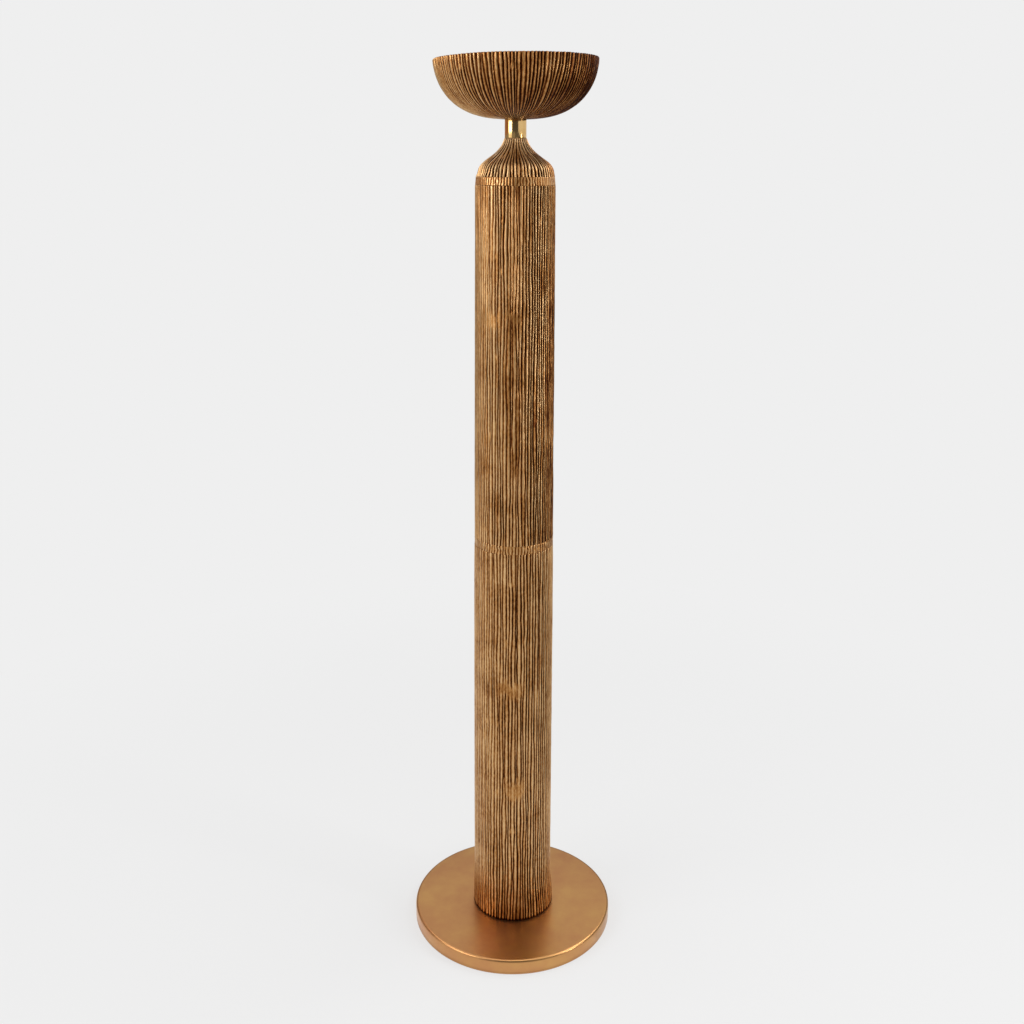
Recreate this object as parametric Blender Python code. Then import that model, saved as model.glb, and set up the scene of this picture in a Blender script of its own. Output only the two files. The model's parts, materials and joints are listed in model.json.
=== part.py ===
"""Torchiere floor lamp: a ribbed brass column on a round weighted base, a polished neck and a ribbed bowl.

Metres, +Z up. The origin is on the floor, under the middle of the base. One tie pipe on the Z axis clamps the
base, the column, the shoulder, the neck and the bowl together, and carries the lampholder and its bulb.
"""

import math

import bmesh
import bpy
from mathutils import Vector

# Fits between pieces
SEAT_GAP = 0.0003  # between two faces that seat on each other
FIT_CLEARANCE = 0.0003  # radial play of a piece in its bore

# Base
BASE_DIAMETER = 0.418
BASE_HEIGHT = 0.032
BASE_EDGE_RADIUS = 0.006
COVER_WALL = 0.003
COVER_LIFT = 0.001  # the cover's rim above the floor
PAD_THICKNESS = 0.002
NUT_RECESS_DIAMETER = 0.060
NUT_RECESS_DEPTH = 0.014

# Cable entry at the back of the base
BUSHING_HEIGHT = 0.014  # its axis above the floor
BUSHING_DIAMETER = 0.011
BUSHING_BORE = 0.0075
BUSHING_FLANGE_DIAMETER = 0.016
BUSHING_FLANGE = 0.002
BUSHING_TAIL = 0.004  # how far it reaches in past the cover's wall

# Flange that centres the column's foot
FLANGE_HEIGHT = 0.010
FLANGE_SCREWS = 3
FLANGE_SCREW_CIRCLE = 0.100
SCREW_DIAMETER = 0.005
SCREW_LENGTH = 0.018  # under the head
SCREW_HEAD_DIAMETER = 0.009
SCREW_HEAD_HEIGHT = 0.0035
SCREW_SLOT_WIDTH = 0.0012
SCREW_SLOT_DEPTH = 0.0012

# Column
COLUMN_FOOT_DIAMETER = 0.162  # over the ribs
COLUMN_TOP_DIAMETER = 0.150
LOWER_COLUMN_LENGTH = 0.8144
UPPER_COLUMN_LENGTH = 0.6689
COLUMN_WALL = 0.003  # from the grooves to the bore
COLUMN_RIBS = 82
COLUMN_RIB_DEPTH = 0.0014
COLUMN_GROOVE_WIDTH = 0.0024

# Rings that join the column's lengths and its shoulder
JOINT_BAND_HEIGHT = 0.0166
SHOULDER_BAND_HEIGHT = 0.0146
SPIGOT_LENGTH = 0.012
SPIGOT_WALL = 0.003
WEB_THICKNESS = 0.004
BAND_CHAMFER = 0.0008

# Shoulder
SHOULDER_HEIGHT = 0.0667
SHOULDER_INSET = 0.0025  # its foot stands back from the band
SHOULDER_LIP = 0.0008  # its top stands out from the neck
SHOULDER_WALL = 0.0048
SHOULDER_TOP_PLATE = 0.006
SHOULDER_RIBS = 48
SHOULDER_RIB_DEPTH = 0.0018
SHOULDER_DOME_POWER = 3.0  # how long the dome stays full above its foot
SHOULDER_FLARE_POWER = 0.85  # how slowly the flare comes up to the neck
SHOULDER_BALANCE = 0.3  # how early the dome gives way to the flare

# Neck
NECK_DIAMETER = 0.0395
NECK_LENGTH = 0.0320
NECK_WALL = 0.0025
NECK_BUSH_HEIGHT = 0.008

# Bowl
BOWL_DIAMETER = 0.295
BOWL_DEPTH = 0.1049
BOWL_WALL = 0.004
BOWL_FLOOR = 0.005
BOWL_SEAT_DIAMETER = 0.048  # flat land that stands on the neck
BOWL_RIBS = 72
BOWL_RIB_DEPTH = 0.0016
BOWL_SIDE_POWER = 2.85  # how square the bowl's section is, along its radius
BOWL_DROP_POWER = 2.02  # and along its depth

# Tie pipe, washers and nuts
PIPE_DIAMETER = 0.010
PIPE_BORE = 0.007
PIPE_END = 0.0015  # what shows below the lower nut
NUT_ACROSS_FLATS = 0.017
NUT_HEIGHT = 0.005
WASHER_DIAMETER = 0.036
WASHER_THICKNESS = 0.0022

# Lampholder
HOLDER_DIAMETER = 0.040
HOLDER_CAP_HEIGHT = 0.014
HOLDER_CAP_FLOOR = 0.0025
HOLDER_CAP_WALL = 0.0015
HOLDER_CAP_EDGE_RADIUS = 0.004
HOLDER_BODY_HEIGHT = 0.024
INSULATOR_THICKNESS = 0.006
INSULATOR_BORE = 0.007
CONTACT_DIAMETER = 0.010
CONTACT_HEIGHT = 0.0015
SCREW_SHELL_WALL = 0.0006
SCREW_SHELL_HEIGHT = 0.024

# Bulb
BULB_CAP_DIAMETER = 0.026
BULB_CAP_LENGTH = 0.0225
BULB_TIP_DIAMETER = 0.009
BULB_TIP_HEIGHT = 0.0025
BULB_BUTTON_HEIGHT = 0.004  # the cap's insulating cone above the tip
GLOBE_DIAMETER = 0.045
GLOBE_LENGTH = 0.045
GLOBE_NECK_DIAMETER = 0.025
GLOBE_WALL = 0.0012

# Facets round each kind of piece
BASE_SIDES = 48
RING_SIDES = 32
SMALL_SIDES = 20
PIPE_SIDES = 12
EDGE_STEPS = 3
SHARP_ANGLE = math.radians(32)

# Levels up the lamp
WEIGHT_Z = PAD_THICKNESS + SEAT_GAP
WEIGHT_TOP = BASE_HEIGHT - COVER_WALL - SEAT_GAP
RECESS_TOP = WEIGHT_Z + NUT_RECESS_DEPTH
BASE_WASHER_Z = RECESS_TOP - SEAT_GAP - WASHER_THICKNESS
BASE_NUT_Z = BASE_WASHER_Z - SEAT_GAP - NUT_HEIGHT
COLUMN_Z = BASE_HEIGHT + SEAT_GAP
JOINT_Z = COLUMN_Z + LOWER_COLUMN_LENGTH + SEAT_GAP
UPPER_Z = JOINT_Z + JOINT_BAND_HEIGHT + SEAT_GAP
SHOULDER_RING_Z = UPPER_Z + UPPER_COLUMN_LENGTH + SEAT_GAP
SHOULDER_Z = SHOULDER_RING_Z + SHOULDER_BAND_HEIGHT + SEAT_GAP
NECK_Z = SHOULDER_Z + SHOULDER_HEIGHT + SEAT_GAP
NECK_TOP = NECK_Z + NECK_LENGTH
BOWL_Z = NECK_TOP + SEAT_GAP
BOWL_WASHER_Z = BOWL_Z + BOWL_FLOOR + SEAT_GAP
BOWL_NUT_Z = BOWL_WASHER_Z + WASHER_THICKNESS + SEAT_GAP
HOLDER_Z = BOWL_NUT_Z + NUT_HEIGHT + SEAT_GAP
INSULATOR_Z = HOLDER_Z + HOLDER_CAP_FLOOR + SEAT_GAP
INSULATOR_TOP = INSULATOR_Z + INSULATOR_THICKNESS
CONTACT_Z = INSULATOR_TOP + SEAT_GAP
BULB_Z = CONTACT_Z + CONTACT_HEIGHT + SEAT_GAP
BULB_CAP_Z = BULB_Z + BULB_TIP_HEIGHT + SEAT_GAP
GLOBE_Z = BULB_CAP_Z + BULB_CAP_LENGTH + SEAT_GAP

# Radii that several pieces share
COVER_INSIDE = BASE_DIAMETER / 2 - COVER_WALL
WEIGHT_RADIUS = COVER_INSIDE - 2 * FIT_CLEARANCE
PIPE_HOLE = PIPE_DIAMETER / 2 + FIT_CLEARANCE
SCREW_HOLE = SCREW_DIAMETER / 2 + FIT_CLEARANCE
NECK_INSIDE = NECK_DIAMETER / 2 - NECK_WALL
HOLDER_INSIDE = HOLDER_DIAMETER / 2 - HOLDER_CAP_WALL
SCREW_SHELL_INSIDE = BULB_CAP_DIAMETER / 2 + FIT_CLEARANCE
SCREW_SHELL_OUTSIDE = SCREW_SHELL_INSIDE + SCREW_SHELL_WALL

# Finishes: sRGB colour, roughness, metallic
FINISHES = {
    "satin_brass": ("#B5804A", 0.35, 1.0),
    "ribbed_brass": ("#9A6E3A", 0.45, 1.0),
    "polished_brass": ("#D9B36A", 0.12, 1.0),
    "plated_steel": ("#B9B8B2", 0.35, 1.0),
    "cast_iron": ("#3A3A3C", 0.75, 1.0),
    "felt": ("#2E2A26", 0.95, 0.0),
    "black_rubber": ("#1C1C1C", 0.7, 0.0),
    "porcelain": ("#EFE9DD", 0.25, 0.0),
    "nickel_cap": ("#C9C4B6", 0.3, 1.0),
    "frosted_glass": ("#F4EFE4", 0.5, 0.0),
}


def linear(hex_colour):
    """An sRGB hex colour as linear red, green, blue and an alpha of 1."""
    channels = [int(hex_colour[i : i + 2], 16) / 255 for i in (1, 3, 5)]
    return [c / 12.92 if c <= 0.04045 else ((c + 0.055) / 1.055) ** 2.4 for c in channels] + [1.0]


def finish(name):
    """The material of that name, made on first use."""
    if name in bpy.data.materials:
        return bpy.data.materials[name]
    colour, roughness, metallic = FINISHES[name]
    material = bpy.data.materials.new(name)
    material.use_nodes = True
    shader = material.node_tree.nodes["Principled BSDF"]
    shader.inputs["Base Color"].default_value = linear(colour)
    shader.inputs["Roughness"].default_value = roughness
    shader.inputs["Metallic"].default_value = metallic
    return material


def as_object(name, bm, seat=(0, 0, 0), material=None):
    """A bmesh as an object that stands at its seat, with its faces turned out and its curves smooth."""
    bmesh.ops.recalc_face_normals(bm, faces=bm.faces)
    mesh = bpy.data.meshes.new(name)
    bm.to_mesh(mesh)
    bm.free()
    mesh.shade_smooth()
    mesh.set_sharp_from_angle(angle=SHARP_ANGLE)
    if material:
        mesh.materials.append(finish(material))
    obj = bpy.data.objects.new(name, mesh)
    obj.location = seat
    bpy.context.collection.objects.link(obj)
    return obj


def turned(name, outline, material, z=0.0, sides=SMALL_SIDES):
    """A lathe-turned piece: a closed outline of (radius, height) points spun about Z.

    A stretch of the outline that lies on the axis closes the piece there and makes no face.
    """
    bm = bmesh.new()
    points = [bm.verts.new((radius, 0, height)) for radius, height in outline]
    pairs = [(a, b) for a, b in zip(points, points[1:] + points[:1]) if a.co.x + b.co.x > 0]
    edges = [bm.edges.new(pair) for pair in pairs]
    spun = {"axis": (0, 0, 1), "cent": (0, 0, 0), "angle": math.tau, "steps": sides, "use_merge": True}
    bmesh.ops.spin(bm, geom=points + edges, **spun)
    bmesh.ops.remove_doubles(bm, verts=bm.verts, dist=1e-6)
    return as_object(name, bm, (0, 0, z), material)


def tube(name, outer, inner, height, material, z, sides=SMALL_SIDES):
    """A plain sleeve, disc or washer of an outer and an inner radius."""
    return turned(name, [(inner, 0), (outer, 0), (outer, height), (inner, height)], material, z, sides)


def loft(name, loops, material, z=0.0):
    """A closed skin over loops of points, each joined to the next and the last to the first.

    Two neighbouring loops have as many points as each other, or one has a whole number of times as many.
    """
    bm = bmesh.new()
    rings = [[bm.verts.new(point) for point in loop] for loop in loops]
    for near, far in zip(rings, rings[1:] + rings[:1]):
        fine, coarse = (near, far) if len(near) >= len(far) else (far, near)
        step = len(fine) // len(coarse)
        for i, point in enumerate(fine):
            corner, following = coarse[i // step], coarse[(i + 1) // step % len(coarse)]
            face = [point, fine[(i + 1) % len(fine)], following]
            bm.faces.new(face if following is corner else face + [corner])
    return as_object(name, bm, (0, 0, z), material)


def polar(radius, angle, height):
    return Vector((radius * math.cos(angle), radius * math.sin(angle), height))


def round_loop(points, section):
    """A plain circle of that many points at a section point (radius, height)."""
    return [polar(section[0], math.tau * i / points, section[1]) for i in range(points)]


def ribbed_loop(ribs, ridge, groove, land=0.0):
    """A circle of ribs: on each rib the ridge, or the two edges of its land, and then the groove beside it.

    ridge and groove are (radius, height), and land is the share of the pitch that the ridge's flat takes.
    """
    pitch = math.tau / ribs
    edges = (-land / 2, land / 2) if land else (0.0,)
    loop = []
    for rib in range(ribs):
        loop += [polar(ridge[0], (rib + edge) * pitch, ridge[1]) for edge in edges]
        loop.append(polar(groove[0], (rib + 0.5) * pitch, groove[1]))
    return loop


def arc(centre, radius, start, end, steps=EDGE_STEPS):
    """Points of an arc in the (radius, height) plane, angles in degrees from the outward direction."""
    angles = [math.radians(start + (end - start) * i / steps) for i in range(steps + 1)]
    return [(centre[0] + radius * math.cos(a), centre[1] + radius * math.sin(a)) for a in angles]


def cut(piece, cutter):
    """Subtract a cutter, which stays as a hidden wire guide."""
    cutter.hide_render = True
    cutter.display_type = "WIRE"
    boolean = piece.modifiers.new(cutter.name, "BOOLEAN")
    boolean.operation = "DIFFERENCE"
    boolean.solver = "EXACT"
    boolean.object = cutter


def rods(name, places, radius, low, high, sides=SMALL_SIDES):
    """A cutter of upright rods at those places."""
    bm = bmesh.new()
    for x, y in places:
        rod = bmesh.ops.create_cone(
            bm, cap_ends=True, segments=sides, radius1=radius, radius2=radius, depth=high - low
        )
        bmesh.ops.translate(bm, verts=rod["verts"], vec=(x, y, (low + high) / 2))
    return as_object(name, bm)


def block(name, low, high):
    """A cutter box between two corners."""
    bm = bmesh.new()
    cube = bmesh.ops.create_cube(bm, size=1)
    size = Vector(high) - Vector(low)
    bmesh.ops.scale(bm, verts=cube["verts"], vec=size)
    bmesh.ops.translate(bm, verts=cube["verts"], vec=Vector(low) + size / 2)
    return as_object(name, bm)


def column_radius(z):
    """Radius over the ribs at a height: a straight taper from the foot to the shoulder."""
    share = (z - COLUMN_Z) / (SHOULDER_Z - COLUMN_Z)
    return (COLUMN_FOOT_DIAMETER + share * (COLUMN_TOP_DIAMETER - COLUMN_FOOT_DIAMETER)) / 2


def column_bore(z):
    return column_radius(z) - COLUMN_RIB_DEPTH - COLUMN_WALL


def shoulder_radius(share):
    """Outer radius over the ribs at a share of the shoulder's height: a dome that turns into a flare."""
    foot = column_radius(SHOULDER_Z) - SHOULDER_INSET
    top = NECK_DIAMETER / 2 + SHOULDER_LIP
    drawn_in = share**SHOULDER_DOME_POWER
    still_full = SHOULDER_BALANCE * (1 - share) ** SHOULDER_FLARE_POWER
    return foot + (top - foot) * drawn_in / (drawn_in + still_full)


def bowl_section(turn, radius, depth):
    """A point of the bowl's wall and its outward normal, as (radius, height), at a turn from rim to bottom.

    The section is a superellipse: (r / radius)^side + (drop / depth)^down = 1, with the rim at the top.
    """
    r = math.cos(turn) ** (2 / BOWL_SIDE_POWER)
    drop = math.sin(turn) ** (2 / BOWL_DROP_POWER)
    slope = Vector((
        BOWL_SIDE_POWER * r ** (BOWL_SIDE_POWER - 1) / radius,
        -BOWL_DROP_POWER * drop ** (BOWL_DROP_POWER - 1) / depth,
    ))
    return Vector((radius * r, BOWL_DEPTH - depth * drop)), slope.normalized()


def turn_at(share):
    """The turn at which the bowl's section has shrunk to that share of its rim radius."""
    return math.acos(share ** (BOWL_SIDE_POWER / 2))


def flange_places():
    """Where the flange's screws stand, evenly round their circle from the front."""
    angles = [math.tau * i / FLANGE_SCREWS - math.pi / 2 for i in range(FLANGE_SCREWS)]
    return [(FLANGE_SCREW_CIRCLE / 2 * math.cos(a), FLANGE_SCREW_CIRCLE / 2 * math.sin(a)) for a in angles]


def floor_pad():
    tube("floor_pad", WEIGHT_RADIUS, NUT_RECESS_DIAMETER / 2, PAD_THICKNESS, "felt", 0, BASE_SIDES)


def base_weight(screw_holes):
    """Iron disc, chamfered to clear the cover, with a recess for the lower nut and a cable channel."""
    recess = NUT_RECESS_DIAMETER / 2
    outline = [
        (PIPE_HOLE, RECESS_TOP),
        (recess, RECESS_TOP),
        (recess, WEIGHT_Z),
        (WEIGHT_RADIUS, WEIGHT_Z),
        (WEIGHT_RADIUS, WEIGHT_TOP - BASE_EDGE_RADIUS),
        (WEIGHT_RADIUS - BASE_EDGE_RADIUS, WEIGHT_TOP),
        (PIPE_HOLE, WEIGHT_TOP),
    ]
    weight = turned("base_weight", outline, "cast_iron", 0, BASE_SIDES)
    half = BUSHING_DIAMETER / 2 + 4 * FIT_CLEARANCE
    channel = block(
        "cable_channel", (-half, recess / 2, -WEIGHT_Z), (half, BASE_DIAMETER / 2, BUSHING_HEIGHT + half)
    )
    cut(weight, channel)
    cut(weight, screw_holes)


def base_cover(screw_holes):
    """Spun pan with a rounded top edge, drilled for the pipe, the flange's screws and the cable entry."""
    outside = BASE_DIAMETER / 2
    edge = arc((outside - BASE_EDGE_RADIUS, BASE_HEIGHT - BASE_EDGE_RADIUS), BASE_EDGE_RADIUS, 90, 0)
    inner_edge = BASE_EDGE_RADIUS - COVER_WALL
    inside = arc((COVER_INSIDE - inner_edge, BASE_HEIGHT - BASE_EDGE_RADIUS), inner_edge, 0, 90, 1)
    rim = [(outside, COVER_LIFT), (COVER_INSIDE, COVER_LIFT)]
    middle = [(PIPE_HOLE, BASE_HEIGHT - COVER_WALL), (PIPE_HOLE, BASE_HEIGHT)]
    cover = turned("base_cover", edge + rim + inside + middle, "satin_brass", 0, BASE_SIDES)
    cut(cover, screw_holes)
    hole = rods("cable_hole", [(0, 0)], BUSHING_DIAMETER / 2 + FIT_CLEARANCE, -2 * COVER_WALL, 2 * COVER_WALL)
    hole.location = (0, outside, BUSHING_HEIGHT)
    hole.rotation_euler = (math.pi / 2, 0, 0)
    cut(cover, hole)


def cord_bushing():
    """Flanged sleeve in the cover's back wall, its axis along Y."""
    tail = -COVER_WALL - SEAT_GAP - BUSHING_TAIL
    outline = [
        (BUSHING_BORE / 2, tail),
        (BUSHING_DIAMETER / 2, tail),
        (BUSHING_DIAMETER / 2, 0),
        (BUSHING_FLANGE_DIAMETER / 2, 0),
        (BUSHING_FLANGE_DIAMETER / 2, BUSHING_FLANGE / 2),
        (BUSHING_DIAMETER / 2, BUSHING_FLANGE),
        (BUSHING_BORE / 2, BUSHING_FLANGE),
    ]
    bushing = turned("cord_bushing", outline, "black_rubber", 0, PIPE_SIDES)
    bushing.location = (0, BASE_DIAMETER / 2 + SEAT_GAP, BUSHING_HEIGHT)
    bushing.rotation_euler = (-math.pi / 2, 0, 0)


def foot_flange(screw_holes):
    """Disc that centres the column's foot, with sunk holes for its screws."""
    radius = column_bore(COLUMN_Z + FLANGE_HEIGHT) - FIT_CLEARANCE
    flange = tube("foot_flange", radius, PIPE_HOLE, FLANGE_HEIGHT, "plated_steel", COLUMN_Z, RING_SIDES)
    head_seat = COLUMN_Z + FLANGE_HEIGHT - SCREW_HEAD_HEIGHT - SEAT_GAP
    head_radius = SCREW_HEAD_DIAMETER / 2 + 2 * FIT_CLEARANCE
    head_top = head_seat + FLANGE_HEIGHT
    sinks = rods("screw_sinks", flange_places(), head_radius, head_seat, head_top, PIPE_SIDES)
    cut(flange, screw_holes)
    cut(flange, sinks)
    return head_seat + SEAT_GAP


def foot_screws(seat):
    """Slotted screws that hold the flange down through the cover into the weight."""
    outline = [
        (0, -SCREW_LENGTH),
        (SCREW_DIAMETER / 2, -SCREW_LENGTH),
        (SCREW_DIAMETER / 2, 0),
        (SCREW_HEAD_DIAMETER / 2, 0),
        (SCREW_HEAD_DIAMETER / 2, SCREW_HEAD_HEIGHT),
        (0, SCREW_HEAD_HEIGHT),
    ]
    for number, (x, y) in enumerate(flange_places(), 1):
        screw = turned(f"foot_screw_{number}", outline, "plated_steel", seat, PIPE_SIDES)
        screw.location = (x, y, seat)
        top = seat + SCREW_HEAD_HEIGHT
        low = (x - SCREW_HEAD_DIAMETER, y - SCREW_SLOT_WIDTH / 2, top - SCREW_SLOT_DEPTH)
        high = (x + SCREW_HEAD_DIAMETER, y + SCREW_SLOT_WIDTH / 2, top + SCREW_SLOT_DEPTH)
        cut(screw, block(f"screw_slot_{number}", low, high))


def column_length(name, z, length):
    """One cast length of the column: lands and V grooves outside, a plain tapered bore inside."""
    ends = (z, z + length)
    pitch = math.pi * COLUMN_TOP_DIAMETER / COLUMN_RIBS
    land = 1 - COLUMN_GROOVE_WIDTH / pitch
    outer = []
    inner = []
    for end in ends:
        radius = column_radius(end)
        height = end - z
        outer.append(ribbed_loop(COLUMN_RIBS, (radius, height), (radius - COLUMN_RIB_DEPTH, height), land))
        inner.append(round_loop(COLUMN_RIBS, (column_bore(end), height)))
    loft(name, outer + inner[::-1], "ribbed_brass", z)


def band_outline(z, height):
    """The band that shows, flush with the ribs on both sides, as (radius, height) points from its foot."""
    foot, top = column_radius(z), column_radius(z + height)
    return [
        (foot - BAND_CHAMFER, 0),
        (foot, BAND_CHAMFER),
        (top, height - BAND_CHAMFER),
        (top - BAND_CHAMFER, height),
    ]


def joint_ring():
    """Ring between the two lengths: a spigot into each, and a web that centres the pipe."""
    below = column_bore(JOINT_Z) - FIT_CLEARANCE
    above = column_bore(UPPER_Z + SPIGOT_LENGTH) - FIT_CLEARANCE
    web = (JOINT_BAND_HEIGHT - WEB_THICKNESS) / 2
    top = JOINT_BAND_HEIGHT + SPIGOT_LENGTH
    outline = [
        (PIPE_HOLE, web),
        (below - SPIGOT_WALL, web),
        (below - SPIGOT_WALL, -SPIGOT_LENGTH),
        (below, -SPIGOT_LENGTH),
        (below, 0),
        *band_outline(JOINT_Z, JOINT_BAND_HEIGHT),
        (above, JOINT_BAND_HEIGHT),
        (above, top),
        (above - SPIGOT_WALL, top),
        (above - SPIGOT_WALL, web + WEB_THICKNESS),
        (PIPE_HOLE, web + WEB_THICKNESS),
    ]
    turned("joint_ring", outline, "ribbed_brass", JOINT_Z, RING_SIDES)


def shoulder_ring():
    """Ring between the upper length and the shoulder, with a spigot into each."""
    below = column_bore(SHOULDER_RING_Z) - FIT_CLEARANCE
    above = shoulder_radius(SPIGOT_LENGTH / SHOULDER_HEIGHT) - SHOULDER_WALL - FIT_CLEARANCE
    bore = above - SPIGOT_WALL
    top = SHOULDER_BAND_HEIGHT + SPIGOT_LENGTH
    outline = [
        (bore, -SPIGOT_LENGTH),
        (below, -SPIGOT_LENGTH),
        (below, 0),
        *band_outline(SHOULDER_RING_Z, SHOULDER_BAND_HEIGHT),
        (above, SHOULDER_BAND_HEIGHT),
        (above, top),
        (bore, top),
    ]
    turned("shoulder_ring", outline, "ribbed_brass", SHOULDER_RING_Z, RING_SIDES)


def shoulder_cap():
    """Ribbed dome that draws in to the neck, with an even wall inside and a plate for the pipe."""
    steps = 7
    foot = shoulder_radius(0)
    outer = []
    for step in range(steps + 1):
        share = step / steps
        radius = shoulder_radius(share)
        depth = SHOULDER_RIB_DEPTH * radius / foot
        height = share * SHOULDER_HEIGHT
        outer.append(ribbed_loop(SHOULDER_RIBS, (radius, height), (radius - depth, height)))
    ceiling = SHOULDER_HEIGHT - SHOULDER_TOP_PLATE
    rises = [0] + [SPIGOT_LENGTH + (ceiling - SPIGOT_LENGTH) * i / 4 for i in range(5)]
    inside = [(shoulder_radius(rise / SHOULDER_HEIGHT) - SHOULDER_WALL, rise) for rise in rises]
    inside += [(PIPE_HOLE, ceiling), (PIPE_HOLE, SHOULDER_HEIGHT)]
    inner = [round_loop(SHOULDER_RIBS, section) for section in inside]
    loft("shoulder_cap", outer + inner[::-1], "ribbed_brass", SHOULDER_Z)


def neck():
    """Polished tube, centred on the pipe by a bush at each end."""
    tube("neck_tube", NECK_DIAMETER / 2, NECK_INSIDE, NECK_LENGTH, "polished_brass", NECK_Z, RING_SIDES)
    bush = NECK_INSIDE - FIT_CLEARANCE
    tube("neck_bush_lower", bush, PIPE_HOLE, NECK_BUSH_HEIGHT, "plated_steel", NECK_Z)
    tube("neck_bush_upper", bush, PIPE_HOLE, NECK_BUSH_HEIGHT, "plated_steel", NECK_TOP - NECK_BUSH_HEIGHT)


def bowl():
    """Ribbed bowl: ribs that run from the rim down to a flat seat, and a smooth inside with a flat floor."""
    steps = 6
    radius, seat = BOWL_DIAMETER / 2, BOWL_SEAT_DIAMETER / 2
    last = turn_at(seat / radius)
    lowest = bowl_section(last, radius, BOWL_DEPTH)[0][1]
    outer = []
    for step in range(steps + 1):
        ridge, normal = bowl_section(last * step / steps, radius, BOWL_DEPTH)
        ridge[1] -= lowest * step / steps
        fade = math.sqrt(max(0, (ridge[0] - seat) / (radius - seat)))
        outer.append(ribbed_loop(BOWL_RIBS, ridge, ridge - normal * BOWL_RIB_DEPTH * fade))
    inner_radius, inner_depth = radius - BOWL_WALL, BOWL_DEPTH - BOWL_FLOOR
    floor_turn = turn_at(seat / inner_radius)
    drop = bowl_section(floor_turn, inner_radius, inner_depth)[0][1] - BOWL_FLOOR
    inside = []
    for step in range(steps):
        section = bowl_section(floor_turn * step / (steps - 1), inner_radius, inner_depth)[0]
        section[1] -= drop * step / (steps - 1)
        inside.append(section)
    inside += [(PIPE_HOLE, BOWL_FLOOR), (PIPE_HOLE, 0)]
    inner = [round_loop(BOWL_RIBS // 2, section) for section in inside]
    loft("bowl", outer + inner[::-1], "ribbed_brass", BOWL_Z)


def hex_nut(name, z):
    """Plain hexagon nut with a clear bore for the pipe, three facets of the bore to each flat."""
    flats = 6
    corner = NUT_ACROSS_FLATS / 2 / math.cos(math.pi / flats)
    hexagon = [round_loop(flats, (corner, height)) for height in (0, NUT_HEIGHT)]
    bore = [round_loop(3 * flats, (PIPE_HOLE, height)) for height in (NUT_HEIGHT, 0)]
    loft(name, hexagon + bore, "plated_steel", z)


def tie_pipe():
    """The pipe from below the lower nut up into the lampholder, with a washer and nut at each clamp."""
    low = BASE_NUT_Z - PIPE_END
    high = HOLDER_Z + HOLDER_CAP_FLOOR - SEAT_GAP
    tube("lamp_pipe", PIPE_DIAMETER / 2, PIPE_BORE / 2, high - low, "plated_steel", low, PIPE_SIDES)
    tube("base_washer", WASHER_DIAMETER / 2, PIPE_HOLE, WASHER_THICKNESS, "plated_steel", BASE_WASHER_Z)
    hex_nut("base_locknut", BASE_NUT_Z)
    tube("bowl_washer", WASHER_DIAMETER / 2, PIPE_HOLE, WASHER_THICKNESS, "polished_brass", BOWL_WASHER_Z)
    hex_nut("bowl_locknut", BOWL_NUT_Z)


def lampholder():
    """Brass cup on the pipe, with insulator, contact and screw shell in it and a porcelain sleeve above."""
    outside = HOLDER_DIAMETER / 2
    outline = [
        (PIPE_HOLE, HOLDER_CAP_FLOOR),
        (PIPE_HOLE, 0),
        *arc((outside - HOLDER_CAP_EDGE_RADIUS, HOLDER_CAP_EDGE_RADIUS), HOLDER_CAP_EDGE_RADIUS, -90, 0, 3),
        (outside, HOLDER_CAP_HEIGHT),
        (HOLDER_INSIDE, HOLDER_CAP_HEIGHT),
        (HOLDER_INSIDE, HOLDER_CAP_FLOOR + HOLDER_CAP_WALL),
        (HOLDER_INSIDE - HOLDER_CAP_WALL, HOLDER_CAP_FLOOR),
    ]
    turned("lampholder_cap", outline, "polished_brass", HOLDER_Z)
    insulator = HOLDER_INSIDE - HOLDER_CAP_WALL - FIT_CLEARANCE
    tube("lampholder_insulator", insulator, INSULATOR_BORE / 2, INSULATOR_THICKNESS, "porcelain", INSULATOR_Z)
    contact = [(0, 0), (CONTACT_DIAMETER / 2, 0), (CONTACT_DIAMETER / 2, CONTACT_HEIGHT), (0, CONTACT_HEIGHT)]
    turned("lampholder_contact", contact, "polished_brass", CONTACT_Z, PIPE_SIDES)
    tube(
        "lampholder_screw_shell",
        SCREW_SHELL_OUTSIDE,
        SCREW_SHELL_INSIDE,
        SCREW_SHELL_HEIGHT,
        "polished_brass",
        INSULATOR_TOP + SEAT_GAP,
    )
    sleeve = SCREW_SHELL_OUTSIDE + FIT_CLEARANCE
    tube(
        "lampholder_body",
        outside,
        sleeve,
        HOLDER_BODY_HEIGHT,
        "porcelain",
        HOLDER_Z + HOLDER_CAP_HEIGHT + SEAT_GAP,
    )


def globe(axis):
    """Blown ball of the bulb, hollow, with its neck open towards the cap."""
    ball, neck_radius = GLOBE_DIAMETER / 2, GLOBE_NECK_DIAMETER / 2
    centre = (0, GLOBE_LENGTH - ball)
    start = -math.degrees(math.acos(neck_radius / ball))
    inner_ball, inner_neck = ball - GLOBE_WALL, neck_radius - GLOBE_WALL
    inner_start = -math.degrees(math.acos(inner_neck / inner_ball))
    outside = [(neck_radius, 0), *arc(centre, ball, start, 90, 8)[:-1], (0, GLOBE_LENGTH)]
    hollow = arc(centre, inner_ball, 90, inner_start, 6)[1:]
    inside = [(0, GLOBE_LENGTH - GLOBE_WALL), *hollow, (inner_neck, 0)]
    turned("bulb_globe", outside + inside, "frosted_glass", GLOBE_Z - BULB_Z).parent = axis


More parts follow.
